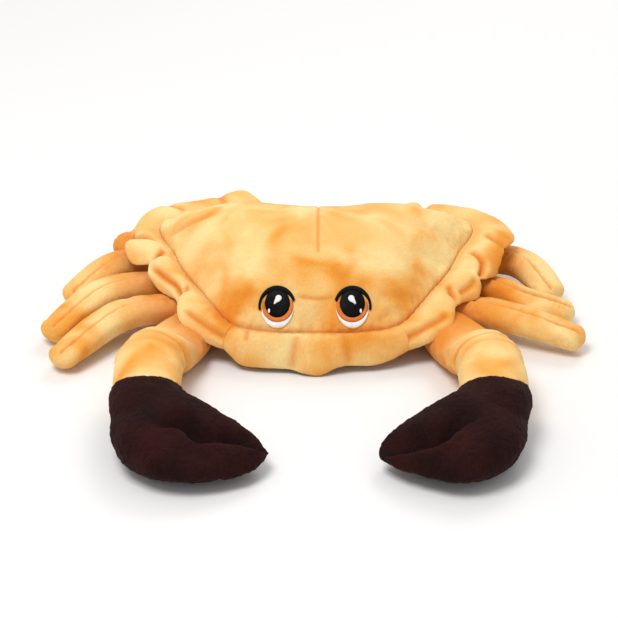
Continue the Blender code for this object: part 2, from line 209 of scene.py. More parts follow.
# Tie-dye: strong spots are above 0 and pale spots below, each with its place and radius
DYE_SPOTS = [
    (-12, -24, 66, 13, 0.3), (-10, -45, 53, 11, 0.75), (18, -27, 65, 17, 0.35),
    (15, -44, 54, 13, 0.75), (30, -49, 49, 11, 0.8), (54, 8, 65, 13, 0.7),
    (65, -6, 56, 12, 0.75), (62, -21, 51, 10, 0.5), (-44, -60, 35, 15, 0.6),
    (41, -63, 31, 13, 0.9), (-12, -69, 25, 16, 0.4), (14, -70, 23, 16, 0.35),
    (57, -41, 42, 12, 0.45), (-45, -52, 41, 13, 0.3),
    (-112, 20, 36, 28, -0.8), (-98, 66, 38, 28, -0.7), (100, 60, 40, 24, -0.4),
    (-120, -30, 24, 22, -0.5), (-100, -20, 20, 20, -0.5), (-75, 8, 54, 26, -0.6),
    (-42, -23, 61, 18, -0.6), (-27, 14, 70, 22, -0.55),
    (86, 19, 49, 17, -0.5), (2, -48, 50, 7, -0.5), (-23, -34, 61, 10, -0.4),
    (42, -35, 56, 11, -0.35), (74, -17, 43, 12, -0.5), (-66, -28, 40, 18, -0.4),
]

# Studio, in metres
FLOOR_SIZE = 6
STUDIO_BRIGHTNESS = 0.6
CAMERA_TILT = math.radians(27)
CAMERA_DISTANCE = 1.3
CAMERA_TARGET = (0, -0.07, 0.022)
SENSOR_WIDTH = 36
PIXEL = 0.00064
PICTURE_WIDTH = 618
PICTURE_RIGHT = -7
PICTURE_UP = 25


def deselect():
    for other in bpy.context.selected_objects:
        other.select_set(False)


def pick(piece):
    deselect()
    piece.select_set(True)
    bpy.context.view_layer.objects.active = piece


def spline(rows, at):
    """Smooth line through rows of numbers, read at places in their first column."""
    rows = np.array(rows, float)
    at = np.asarray(at, float)
    last = len(rows) - 1
    i = np.clip(np.searchsorted(rows[:, 0], at, "right") - 1, 0, last - 1)
    start, end = rows[i], rows[i + 1]
    before, after = rows[np.maximum(i - 1, 0)], rows[np.minimum(i + 2, last)]
    t = np.clip((at - start[:, 0]) / (end[:, 0] - start[:, 0]), 0, 1)[:, None]
    into, out = (end - before) / 2, (after - start) / 2
    value = ((2 * t ** 3 - 3 * t ** 2 + 1) * start + (t ** 3 - 2 * t ** 2 + t) * into
             + (3 * t ** 2 - 2 * t ** 3) * end + (t ** 3 - t ** 2) * out)
    return value[:, 1:]


def along_line(points, at):
    return spline([(i, *p) for i, p in enumerate(points)], at)


def drawn(points, count):
    """A smooth line through the points, as many short steps."""
    return along_line(points, np.linspace(0, len(points) - 1, count))


def ease(low, high, value):
    t = np.clip((value - low) / (high - low), 0, 1)
    return t * t * (3 - 2 * t)


def lumps(points, size, seed):
    """Soft random lumps of about the given size, from -1 to 1, the same on each run."""
    place = points / size + seed * 17.3
    cell = np.floor(place).astype(np.int64)
    part = place - cell
    part = part * part * (3 - 2 * part)
    total = np.zeros(len(points))
    for corner in range(8):
        step = np.array([corner & 1, corner >> 1 & 1, corner >> 2 & 1])
        at = cell + step
        mixed = (at[:, 0] * 73856093) ^ (at[:, 1] * 19349663) ^ (at[:, 2] * 83492791)
        mixed = (mixed ^ (mixed >> 13)) * 1274126177 & 0xFFFFFFFF
        mixed = (mixed ^ (mixed >> 16)) * 668265263 & 0xFFFFFFFF
        weight = np.prod(np.where(step, part, 1 - part), axis=1)
        total += weight * (mixed / 0xFFFFFFFF * 2 - 1)
    return total


def read(piece):
    """Places of a piece's points, in millimetres."""
    co = np.zeros(len(piece.data.vertices) * 3)
    piece.data.vertices.foreach_get("co", co)
    return co.reshape(-1, 3) / MM


def write(piece, co):
    piece.data.vertices.foreach_set("co", (co * MM).ravel())
    piece.data.update()


def facing(piece):
    """Which way the skin faces at each point."""
    out = np.zeros(len(piece.data.vertices) * 3)
    piece.data.vertex_normals.foreach_get("vector", out)
    return out.reshape(-1, 3)


def mark(piece, name, values):
    """Keeps a number at each point, for the material."""
    layer = piece.data.attributes.get(name) or piece.data.attributes.new(name, "FLOAT", "POINT")
    layer.data.foreach_set("value", np.asarray(values, np.float32))


def line_distance(points, line):
    """Distance from each point to a line, and the share of the line where it is nearest."""
    best = np.full(len(points), 1e9)
    where = np.zeros(len(points))
    for i, (start, end) in enumerate(zip(line, line[1:])):
        run = end - start
        t = np.clip((points - start) @ run / max(run @ run, 1e-9), 0, 1)
        away = np.linalg.norm(points - start - t[:, None] * run, axis=1)
        closer = away < best
        best[closer] = away[closer]
        where[closer] = (i + t[closer]) / (len(line) - 1)
    return best, where


def groove(co, normal, line, depth, width, start=0.15, stop=0.15):
    """Presses a crease into the skin below or above a line, with a soft bank beside it."""
    near = [int(np.argmin(np.sum((co - point) ** 2, axis=1))) for point in line]
    lift = np.sum((co[near] - line) * normal[near], axis=1)
    line = line + normal[near] * lift[:, None]
    away, where = line_distance(co, line)
    fade = ease(-1e-6, start, where) * ease(-1e-6, stop, 1 - where)
    dip = np.exp(-(away / width) ** 2) * fade
    bank = np.exp(-((away - 2.2 * width) / (1.2 * width)) ** 2) * fade
    co += normal * (depth * (0.25 * bank - dip))[:, None]
    return dip


def ball(name, around, along):
    """A ball of radius 1, and the place, row and turn of each of its points, from which the
    shaping functions make a piece."""
    deselect()
    bpy.ops.mesh.primitive_uv_sphere_add(segments=around, ring_count=along, radius=1)
    piece = bpy.context.object
    piece.name = name
    piece.data.name = name
    bpy.ops.object.shade_smooth()
    co = read(piece) * MM
    row = np.round(np.degrees(np.arccos(np.clip(co[:, 2], -1, 1))) / 180 * along)
    turn = np.arctan2(co[:, 1], co[:, 0])
    return piece, co, row, turn


def face_outward(piece):
    pick(piece)
    bpy.ops.object.mode_set(mode="EDIT")
    bpy.ops.mesh.select_all(action="SELECT")
    bpy.ops.mesh.normals_make_consistent(inside=False)
    bpy.ops.object.mode_set(mode="OBJECT")


def apply_step(piece, step):
    pick(piece)
    bpy.ops.object.modifier_apply(modifier=step.name)


def even_out(piece, spacing):
    """Covers a shape with an even skin of small squares."""
    step = piece.modifiers.new("even_skin", "REMESH")
    step.mode = "VOXEL"
    step.voxel_size = spacing * MM
    step.use_smooth_shade = True
    apply_step(piece, step)


def refine(piece, levels):
    step = piece.modifiers.new("smoother", "SUBSURF")
    step.levels = levels
    step.render_levels = levels
    apply_step(piece, step)


def stuff(piece, sewn, swell, slack):
    """Fills a closed skin by simulation: pressure inside, its sewn points held, and no point
    moves further than the swell. A little slack in the cloth puckers along the seams."""
    start = read(piece)
    group = piece.vertex_groups.new(name="sewn")
    group.add([int(i) for i in np.nonzero(sewn)[0]], 1.0, "REPLACE")
    step = piece.modifiers.new("stuffing", "CLOTH")
    step.settings.quality = 3
    step.settings.mass = STUFFING_WEIGHT
    step.settings.vertex_group_mass = "sewn"
    step.settings.use_pressure = True
    step.settings.uniform_pressure_force = STUFFING_PRESSURE
    step.settings.shrink_min = -slack
    step.settings.effector_weights.gravity = 0
    step.point_cache.frame_start = 1
    step.point_cache.frame_end = STUFFING_FRAMES
    for number in range(1, STUFFING_FRAMES + 1):
        bpy.context.scene.frame_set(number)
    apply_step(piece, step)
    bpy.context.scene.frame_set(1)
    move = read(piece) - start
    length = np.linalg.norm(move, axis=1)
    move *= np.minimum(1, swell / np.maximum(length, 1e-6))[:, None]
    write(piece, start + move)
    piece.vertex_groups.clear()


def swollen(piece, distance):
    """A copy with its skin moved outward, to cut with."""
    pick(piece)
    bpy.ops.object.duplicate()
    copy = bpy.context.object
    write(copy, read(copy) + facing(copy) * distance)
    return copy


def cut(piece, cutter):
    step = piece.modifiers.new("cut", "BOOLEAN")
    step.operation = "DIFFERENCE"
    step.solver = "MANIFOLD"
    step.object = cutter
    apply_step(piece, step)


# Body
def bearing(co):
    """Angle of each point from the front of the body in degrees, positive to the right."""
    return np.degrees(np.arctan2(co[:, 0], BODY_CENTRE_Y - co[:, 1]))


def seam_rows():
    """The typed seam as angle, distance and height, with rows past both ends."""
    rows = []
    for x, y, z in BODY_SEAM:
        angle = math.degrees(math.atan2(x, BODY_CENTRE_Y - y))
        rows.append((angle, math.hypot(x, BODY_CENTRE_Y - y), z))
    front = [(-a, r, z) for a, r, z in rows[1:3]]
    beyond = [(360 - a, r, z) for a, r, z in rows[-3:-1]]
    return front[::-1] + rows + beyond[::-1]


SEAM = seam_rows()


def seam_at(angle):
    """Body seam by angle from the front in degrees, positive to the right."""
    turn = (np.asarray(angle, float) + 180) % 360 - 180
    radius, height = spline(SEAM, np.abs(turn)).T
    way = np.radians(turn)
    return np.stack([radius * np.sin(way), BODY_CENTRE_Y - radius * np.cos(way), height], 1)


def seam_outward(angle):
    """Level direction away from the body, square to its seam."""
    run = seam_at(angle + 5) - seam_at(angle - 5)
    out = np.stack([run[:, 1], -run[:, 0], np.zeros(len(run))], 1)
    return out / np.linalg.norm(out, axis=1)[:, None]


def beyond_seam(co):
    """How far out each point lies past the body's seam, seen from above."""
    edge = seam_at(bearing(co))
    return (np.hypot(co[:, 0], co[:, 1] - BODY_CENTRE_Y)
            - np.hypot(edge[:, 0], edge[:, 1] - BODY_CENTRE_Y))


def body_shape(angle, reach, upper):
    """The pillow: domed above its seam, and below it a belly that is flat in the middle."""
    edge = seam_at(angle)
    centre = np.array([0, BODY_CENTRE_Y])
    flat = centre + (edge[:, :2] - centre) * reach[:, None]
    fullness = 2.3 + 0.9 * np.sin(np.radians(angle)) ** 2
    dome = 1 - np.clip(1 - reach ** fullness, 0, 1) ** 0.9
    top = BODY_TOP - (BODY_TOP - edge[:, 2]) * dome
    out = np.clip(reach - BELLY_FLAT, 0, None) / (1 - BELLY_FLAT)
    belly = edge[:, 2] * (1 - np.clip(1 - out ** 2, 0, 1) ** 0.62)
    return np.column_stack([flat, np.where(upper, top, belly)])


def make_body():
    piece, co, _, _ = ball("crab_body", 176, 84)
    reach = np.clip(np.hypot(co[:, 0], co[:, 1]), 0, 1)
    angle = np.degrees(np.arctan2(co[:, 0], -co[:, 1]))
    write(piece, body_shape(angle, reach, co[:, 2] >= 0))
    even_out(piece, BODY_SKIN_SPACING)
    co = read(piece)
    sewn = np.linalg.norm(co - seam_at(bearing(co)), axis=1) < 3
    stuff(piece, sewn | (co[:, 2] < 1.5), BODY_SWELL, 0.02)
    refine(piece, 2)
    co, out = read(piece), facing(piece)
    angle = bearing(co)
    edge = seam_at(angle)
    away = np.linalg.norm(co - edge, axis=1)
    upper = co[:, 2] > edge[:, 2] - 2
    # The skin rolls under where it is sewn to the rim, with a row of small puckers
    inward = np.column_stack([-edge[:, 0], BODY_CENTRE_Y - edge[:, 1], np.zeros(len(edge))])
    inward /= np.linalg.norm(inward, axis=1)[:, None]
    length = np.radians(angle) * np.hypot(edge[:, 0], edge[:, 1] - BODY_CENTRE_Y)
    pucker = np.sin(length * 2 * math.pi / BODY_PUCKER + 2 * lumps(edge, 20, 3))
    pinch = np.exp(-(away / 2.4) ** 2)
    co += inward * (pinch * SEAM_PINCH)[:, None]
    co += out * (0.35 * pucker * np.exp(-((away - 5) / 4.5) ** 2) * upper)[:, None]
    # Painted shade along the rim seam, stronger at the front, and in the corner creases, the top
    # dart and the brow crease
    front = 1 - ease(32, 60, np.abs(angle))
    hollow_and_painted_shade = (0.2 + 0.15 * front) * np.exp(-(away / (3 + 2.5 * front)) ** 2)
    for line in CORNER_CREASES:
        dip = groove(co, out, drawn(line, 30), 1.5, 2.6, 0.35, 0.35)
        hollow_and_painted_shade = np.maximum(hollow_and_painted_shade, 0.4 * dip)
    hollow_and_painted_shade = np.maximum(hollow_and_painted_shade, 0.6 * groove(co, out, drawn(TOP_DART, 24), 0.8, 0.9, 0.1, 0.1))
    hollow_and_painted_shade = np.maximum(hollow_and_painted_shade, 0.6 * groove(co, out, drawn(BROW_CREASE, 16), 0.6, 1.5, 0.3, 0.3))
    rise = (0.7 * lumps(co, 34, 1) + 0.3 * lumps(co, 13, 2) * upper
            + PILE_HEIGHT * lumps(co, PILE_SIZE, 4))
    co += out * rise[:, None] * ease(0, 6, away)[:, None] * upper[:, None]
    co[:, 2] = np.maximum(co[:, 2], 0)
    write(piece, co)
    mark(piece, "hollow_and_painted_shade", hollow_and_painted_shade)
    return piece


# Rim
def rim_place(edge_rows, side, angle, share):
    """Middle of the flap, by angle and by share of the way from the seam to the edge."""
    reach, drop, rise = spline(edge_rows, angle).T
    place = seam_at(angle * side) + seam_outward(angle * side) * (reach * share ** 0.85)[:, None]
    place[:, 2] += rise * 4 * share * (1 - share) - drop * share ** 1.3
    return place


def make_rim(name, edge_rows, side, folds, around, along):
    """A doubled flap: its rows of points run along the seam, and its turns around the flap."""
    piece, _, row, turn = ball(name, around, along)
    first, last = edge_rows[0][0], edge_rows[-1][0]
    share = np.clip((row - RIM_END_ROWS) / (along - 2 * RIM_END_ROWS), 0, 1)
    size = np.clip(np.minimum(row, along - row) / RIM_END_ROWS, 0, 1) ** 0.6
    angle = first + (last - first) * share
    outward = seam_outward(angle * side)
    run = np.cross([0, 0, 1], outward)
    out = (1 - np.cos(turn)) / 2
    flap = np.clip(out * 1.1 - 0.1, 0, 1)
    inset = np.clip(0.1 - out, 0, None) / 0.1 * RIM_INSET
    here = rim_place(edge_rows, side, angle, flap) - outward * inset[:, None]
    step = (rim_place(edge_rows, side, angle, np.clip(flap + 0.04, 0, 1))
            - rim_place(edge_rows, side, angle, np.clip(flap - 0.04, 0, 1)))
    up = np.cross(run, step)
    up *= np.sign(np.sum(up * np.cross(run, outward), axis=1))[:, None]
    up /= np.linalg.norm(up, axis=1)[:, None]
    half = RIM_THICKNESS / 2 * np.sqrt(np.clip(1 - np.abs(2 * out - 1) ** 5, 0, 1))
    half *= (0.4 + 0.6 * ease(0, 0.35, flap)) * (1 + 0.3 * 4 * flap * (1 - flap))
    way = np.sign(np.sin(turn)) * np.abs(np.sin(turn)) ** 0.3
    place = here + up * (half * way * size)[:, None]
    centre = rim_place(edge_rows, side, angle, np.full(len(out), 0.5))
    place = centre + (place - centre) * np.where(size < 1, np.maximum(size, 0.02), 1)[:, None]
    gap = SEAM_GAP / 2 * (np.where(share <= 0, 1, 0) - np.where(share >= 1, 1, 0)) * side
    place += run * gap[:, None]
    write(piece, place)
    face_outward(piece)
    co, normal = read(piece), facing(piece)
    # Painted shade where the flap meets the seam and in its folds
    hollow_and_painted_shade = 0.35 * np.exp(-(flap / 0.12) ** 2)
    for line, depth, width in folds:
        at = drawn(line, 24)
        fold = rim_place(edge_rows, side, at[:, 0], at[:, 1])
        fold[:, 2] += RIM_THICKNESS / 2
        dip = groove(co, normal, fold, depth, width, 0.25, 0)
        hollow_and_painted_shade = np.maximum(hollow_and_painted_shade, min(1, 0.35 + depth / 4) * dip)
    soft = ease(0.05, 0.3, flap) * np.where(size < 1, 0, 1)
    length = np.radians(angle) * RIM_RADIUS
    pucker = np.sin(length * 2 * math.pi / RIM_PUCKER + 2 * lumps(co, 22, 5))
    pucker *= np.exp(-((flap - 0.18) / 0.14) ** 2)
    rise = 0.6 * lumps(co, 15, 6) + PILE_HEIGHT * lumps(co, PILE_SIZE, 7)
    co += normal * (rise * soft + 0.3 * pucker)[:, None]
    write(piece, co)
    mark(piece, "hollow_and_painted_shade", hollow_and_painted_shade)
    return piece


# Legs and arms
def tube_place(stations, at, turn):
    """A tube's middle line by station number, its direction, the way from it to the skin by
    turn around it, and its half height."""
    x, y, z, wide, high = along_line(stations, at).T
    middle = np.stack([x, y, z], 1)
    top = len(stations) - 1
    step = (along_line(stations, np.clip(at + 0.1, 0, top))
            - along_line(stations, np.clip(at - 0.1, 0, top)))[:, :3]
    run = step / np.linalg.norm(step, axis=1)[:, None]
    across = np.cross(run, [0, 0, 1])
    across /= np.linalg.norm(across, axis=1)[:, None]
    up = np.cross(across, run)
    skin = (np.cos(turn) * wide)[:, None] * across + (np.sin(turn) * high)[:, None] * up
    return middle, run, skin, high


def make_tube(name, stations, around, along, first, last, blunt):
    """A closed tube from the first station to the last, flat at its ends, or with a round tip
    that is blunt times its half height long."""
    piece, _, row, turn = ball(name, around, along)
    cap = max(round(along * 0.07), 3)
    share = np.clip((row - cap) / (along - 2 * cap), 0, 1)
    at = first + (last - first) * share
    middle, run, skin, high = tube_place(stations, at, turn)
    head = np.clip((cap - row) / cap, 0, 1)
    tail = np.clip((row - (along - cap)) / cap, 0, 1)
    if blunt:
        tail = np.sin(tail * math.pi / 2)
        size = np.where(tail > 0, np.sqrt(np.clip(1 - tail ** 2.3, 0, 1)), 1 - head)
    else:
        size = 1 - head - tail
    write(piece, middle + run * (tail * high * blunt)[:, None] + skin * size[:, None])
    face_outward(piece)
    return piece, at, turn


def make_leg(name, line):
    stations = [(*p, LEG_WIDTH / 2 * s, LEG_HEIGHT / 2 * s) for p, s in zip(line, LEG_SIZES)]
    piece, at, turn = make_tube("crab_" + name, stations, 38, 56, 0, 3, 0.9)
    seam_turn = LEG_SEAM if "left" in name else math.pi - LEG_SEAM
    sewn = np.abs((turn - seam_turn + math.pi) % (2 * math.pi) - math.pi) < 0.08
    stuff(piece, sewn | (at < 0.5), LEG_SWELL, 0.03)
    refine(piece, 1)
    co, normal = read(piece), facing(piece)
    places = np.linspace(0.4, 3, 70)
    middle, run, skin, high = tube_place(stations, places, np.full(70, seam_turn))
    seam = middle + skin
    tip = seam[-1] + run[-1] * high[-1] * 0.5 - skin[-1] * 0.15
    dip = groove(co, normal, np.vstack([seam, tip]), 1.1, 1.1, 0, 0)
    away, where = line_distance(co, seam)
    pucker = np.sin(where * 92) * np.exp(-((away - 3) / 2.6) ** 2)
    co += normal * (0.25 * pucker + 0.4 * lumps(co, 17, 8)
                    + PILE_HEIGHT * lumps(co, PILE_SIZE, 9))[:, None]
    co[:, 2] = np.maximum(co[:, 2], 0)
    write(piece, co)
    # Painted shade: deep orange at the roots under the rim, more so on the left, and along the
    # seam groove
    root = (1 - ease(20, 62, beyond_seam(co))) * (0.7 if "left" in name else 0.45)
    mark(piece, "hollow_and_painted_shade", np.maximum(root, 0.7 * dip))
    return piece


def make_arm(side, line):
    """Upper arm and forearm, which meet at the elbow seam."""
    pieces = []
    for name, first, last, rows in (("crab_upper_arm_" + side, 0, ARM_ELBOW, 56),
                                    ("crab_forearm_" + side, ARM_ELBOW, 5, 38)):
        piece, at, _ = make_tube(name, line, 52, rows, first, last, 0)
        sewn = (at < 0.8) | (np.abs(at - ARM_ELBOW) < 0.02) | (at > 4.3)
        stuff(piece, sewn, ARM_SWELL, 0.03)
        refine(piece, 1)
        co, normal = read(piece), facing(piece)
        middle, run, _, _ = tube_place(line, np.array([ARM_ELBOW + 0.0]), np.zeros(1))
        along = (co - middle) @ run[0]
        pinch = np.exp(-(along / 2.2) ** 2)
        centre = middle + np.outer(along, run[0])
        co -= (co - centre) * (0.1 * pinch)[:, None]
        shift = SEAM_GAP / 2 * (1 if first else -1)
        co += run * (shift * np.exp(-(along / 3) ** 2))[:, None]
        # Soft wrinkles either side of the elbow seam
        wave = 9 if first == 0 else 12
        dip = np.exp(-((np.abs(along) - wave + 1.5 * lumps(co, 14, 10)) / 2.2) ** 2)
        co -= normal * (0.9 * dip * ease(0, 10, co[:, 2]))[:, None]
        co += normal * (0.7 * lumps(co, 17, 11) + PILE_HEIGHT * lumps(co, PILE_SIZE, 12))[:, None]
        co[:, 2] = np.maximum(co[:, 2], 0)
        write(piece, co)
        # Painted shade at the roots under the rim, at the elbow seam and in the wrinkles beside
        # it
        root = 1 - ease(20, 56, beyond_seam(co))
        mark(piece, "hollow_and_painted_shade", np.maximum(0.8 * root, 0.55 * np.maximum(pinch, 0.5 * dip)))
        pieces.append(piece)
    return pieces


# Claws
def make_claw(side, shape):
    """A stuffed mitten joined to its cuff, with a slit pressed in between the fingers."""
    piece, co, _, _ = ball("crab_claw_" + side, 150, 74)
    reach = np.clip(np.hypot(co[:, 0], co[:, 1]), 0, 1)
    upper = np.where(co[:, 2] > 0, 1, -1)
    centre = np.array(shape["centre"], float)
    outline = np.array(shape["outline"], float)
    away = outline - centre
    rows = sorted(zip(np.degrees(np.arctan2(away[:, 1], away[:, 0])), np.hypot(*away.T)))
    rows = [(a - 360, r) for a, r in rows[-2:]] + rows + [(a + 360, r) for a, r in rows[:2]]
    angle = np.arctan2(co[:, 1], co[:, 0])
    radius = spline(rows, np.degrees(angle))[:, 0] * reach
    spot = centre + np.stack([np.cos(angle), np.sin(angle)], 1) * radius[:, None]
    tip = outline[np.argmin(np.abs(outline[:, 0]))]
    span = np.linalg.norm(tip - centre)
    toward = np.clip((spot - centre) @ (tip - centre) / span ** 2, 0, 1)
    thick = CLAW_PALM_THICKNESS + (CLAW_TIP_THICKNESS - CLAW_PALM_THICKNESS) * toward ** 1.3
    full = np.clip(1 - reach ** 2, 0, 1) ** 0.48
    place = np.column_stack([spot, thick / 2 * (1 + upper * full)])
    write(piece, place)
    line = drawn(shape["slit"], SLIT_STEPS)
    level = np.column_stack([line, np.zeros(SLIT_STEPS)])
    cuff, _, row, turn = ball("cuff", 48, 40)
    share = np.clip((row - 3) / 34, 0, 1)
    middle, _, skin, _ = tube_place(shape["cuff"], 2 * share, turn)
    ring = middle + skin * np.where((row == 0) | (row == 40), 0, 1)[:, None]
    ring[:, 1] -= (ring[:, 2] - 24) * (1 - share)
    write(cuff, ring)
    piece.select_set(True)
    bpy.context.view_layer.objects.active = piece
    bpy.ops.object.join()
    even_out(piece, CLAW_SKIN_SPACING)
    flat = read(piece)
    flat[:, 2] = 0
    close, where = line_distance(flat, level)
    stuff(piece, (close < 2) & (where < 0.75), CLAW_SWELL, 0.03)
    refine(piece, 2)
    co = read(piece)
    flat = co.copy()
    flat[:, 2] = 0
    close, where = line_distance(flat, level)
    # The far finger slopes down into the slit, and the near finger has a lip
    i = np.clip((where * (SLIT_STEPS - 1)).astype(int), 0, SLIT_STEPS - 2)
    run, off = level[i + 1] - level[i], flat - level[i]
    cross = run[:, 0] * off[:, 1] - run[:, 1] * off[:, 0]
    behind = np.sign(cross) * (-1 if side == "left" else 1) > 0
    middle = np.interp(where, [0, 1], [CLAW_TIP_THICKNESS, CLAW_PALM_THICKNESS]) / 2
    over = co[:, 2] > middle
    fade = (1 - ease(0.62, 1.0, where)) * (0.3 + 0.7 * ease(0, 0.14, where))
    width = np.where(behind & over, 8.5, 2.0)
    hollow_and_painted_shade = np.exp(-(close / width) ** 2) * fade
    height = np.abs(co[:, 2] - middle)
    co[:, 2] += np.where(over, -1, 1) * hollow_and_painted_shade * height * np.where(over, 0.86, 0.7)
    lip = np.exp(-((close - 6) / 3.6) ** 2) * fade * (~behind) * over
    co[:, 2] += 1.3 * lip * ease(0, 8, height)
    write(piece, co)
    normal = facing(piece)
    co += normal * (0.9 * lumps(co, 20, 13) + 0.28 * lumps(co, 2.6, 14)
                    + 0.24 * lumps(co, 1.4, 15))[:, None]
    co[:, 2] = np.maximum(co[:, 2], 0)
    write(piece, co)
    # Painted shade in the slit, wider on the far finger
    mark(piece, "hollow_and_painted_shade", np.exp(-(close / np.where(behind & over, 4.5, 2.0)) ** 2) * fade)
    return piece


# Embroidered eyes
def oval_point(oval, degrees):
    (x, y), (wide, high) = oval
    turn = np.radians(degrees)
    return np.stack([x + wide * np.cos(turn), y + high * np.sin(turn)], 1)


def lay_on_face(piece, flat, height, side, skin):
    """Lays flat points on the face of the body, each at its height above the plush."""
    out = Vector((0, -math.cos(EYE_LEAN), math.sin(EYE_LEAN)))
    rising = np.array([0, math.sin(EYE_LEAN), math.cos(EYE_LEAN)])
    start = (np.array([EYE_MIDDLE + side * EYE_SPREAD / 2, EYE_FRONT, EYE_HEIGHT])
             - np.outer(flat[:, 0], [side, 0, 0]) + np.outer(flat[:, 1], rising))
    place = np.zeros((len(flat), 3))
    for i, point in enumerate(start):
        hit, normal, _, _ = skin.ray_cast(Vector(point) + out * 30, -out)
        place[i] = hit + out * (height[i] / max(normal.dot(out), 0.4))
    write(piece, place)
    face_outward(piece)


def make_crescent(name, arcs, side, skin):
    """Satin stitch between an outer and an inner arc, a fine ridge for each thread."""
    piece, _, row, turn = ball(name, 28, 300)
    share = np.clip((row - 3) / 294, 0, 1)
    size = np.clip(np.minimum(row, 300 - row) / 3, 0, 1)
    (outer_mid, outer_half, outer_first, outer_last), (mid, half, first, last) = arcs
    outer = oval_point((outer_mid, outer_half), outer_first + (outer_last - outer_first) * share)
    inner = oval_point((mid, half), first + (last - first) * share)
    across = 0.5 - 0.5 * np.cos(turn) * size
    flat = inner + (outer - inner) * across[:, None]
    crown = np.sqrt(np.clip(1 - np.abs(2 * across - 1) ** 3, 0, 1)) * (np.sin(turn) > 0)
    thread = 0.07 * np.sin(share * 2 * math.pi * CRESCENT_THREADS)
    height = GAP + 0.12 + crown * size * (THREAD_THICKNESS - 0.25 + thread)
    lay_on_face(piece, flat, height, side, skin)
    return piece


def make_patch(name, outline, centre, side, skin, low, high, holes=()):
    """Satin stitch that fills an outline, with its threads upright."""
    piece, co, _, _ = ball(name, 120, 60)
    reach = np.clip(np.hypot(co[:, 0], co[:, 1]), 0, 1)
    away = np.array(outline) - centre
    angles = np.degrees(np.arctan2(away[:, 1], away[:, 0]))
    order = np.argsort(angles)
    angles, radii = angles[order], np.hypot(*away[order].T)
    radius = np.interp(np.degrees(np.arctan2(co[:, 1], co[:, 0])), angles, radii, period=360)
    flat = centre + co[:, :2] / np.maximum(reach, 1e-6)[:, None] * (radius * reach)[:, None]
    crown = np.clip(1 - reach ** 4, 0, 1) ** 0.5 * (co[:, 2] > 0)
    thread = 0.06 * np.sin(flat[:, 0] * 2 * math.pi / THREAD_WIDTH)
    rise = (high - low + thread) * crown
    for spot, hole in holes:
        rise *= ease(hole, hole + 0.5, np.hypot(*(flat - spot).T))
    lay_on_face(piece, flat, low + rise, side, skin)
    return piece


def make_eye(word, side, skin):
    """The patches of one eye, by part."""
    made = {}
    for part, arcs in EYE_CRESCENTS.items():
        made[part] = make_crescent("stitched_" + part + "_" + word, arcs, side, skin)
    turns = np.linspace(-180, 176, 90)
    low, high = GAP + 0.1, GAP + THREAD_THICKNESS
    pupil, glint, dot = EYE_OVALS["pupil"], EYE_OVALS["glint"], EYE_OVALS["dot"]
    made["pupil"] = make_patch("stitched_pupil_" + word, oval_point(pupil, turns),
                               np.array(pupil[0]), side, skin, low, high, GLINT_ROOM)
    tail = np.array(GLINT_TAIL)
    outline = np.vstack([oval_point(glint, np.linspace(-60, 190, 40)), tail])
    made["glint"] = make_patch("stitched_glint_" + word, outline, np.array(glint[0]), side, skin,
                               low + 0.2, high)
    made["dot"] = make_patch("stitched_dot_" + word, oval_point(dot, turns), np.array(dot[0]),
                             side, skin, low + 0.2, high)
    return made


# Materials
def srgb(hex_code):
    channels = [int(hex_code[i:i + 2], 16) / 255 for i in (0, 2, 4)]
    linear = [c / 12.92 if c <= 0.04045 else ((c + 0.055) / 1.055) ** 2.4 for c in channels]
    return (*linear, 1.0)


def node(tree, kind, inputs=None, **settings):
    """Adds a node, with its settings, its constants and its links."""
    made = tree.nodes.new("ShaderNode" + kind)
    for name, value in settings.items():
        setattr(made, name, value)
    for socket, value in (inputs or {}).items():
        if isinstance(value, bpy.types.NodeSocket):
            tree.links.new(value, made.inputs[socket])
        else:
            made.inputs[socket].default_value = value
    return made


def new_material(name, colour, roughness):
    made = bpy.data.materials.new(name)
    made.use_nodes = True
    tree = made.node_tree
    shader = tree.nodes["Principled BSDF"]
    shader.inputs["Base Color"].default_value = srgb(colour)
    shader.inputs["Roughness"].default_value = roughness
    return made, tree, shader


def nap(tree, place, shader, colour, low, high, distance):
    """Short pile: tufts about 1 mm across that lie down the slope, in shade and in relief."""
    drawn_out = node(tree, "Mapping", {"Vector": place, "Scale": (850, 850, 330)}).outputs[0]
    tufts = node(tree, "TexNoise", {"Vector": drawn_out, "Scale": 1.0, "Detail": 2.0}).outputs[0]
    shade = node(tree, "MapRange", {"Value": tufts, "From Min": 0.3, "From Max": 0.7,
                                    "To Min": low, "To Max": high}).outputs[0]
    napped = node(tree, "VectorMath", {0: colour, "Scale": shade}, operation="SCALE").outputs[0]
    tree.links.new(napped, shader.inputs["Base Color"])
    bump = node(tree, "Bump", {"Height": tufts, "Strength": 0.5, "Distance": distance})
    tree.links.new(bump.outputs[0], shader.inputs["Normal"])


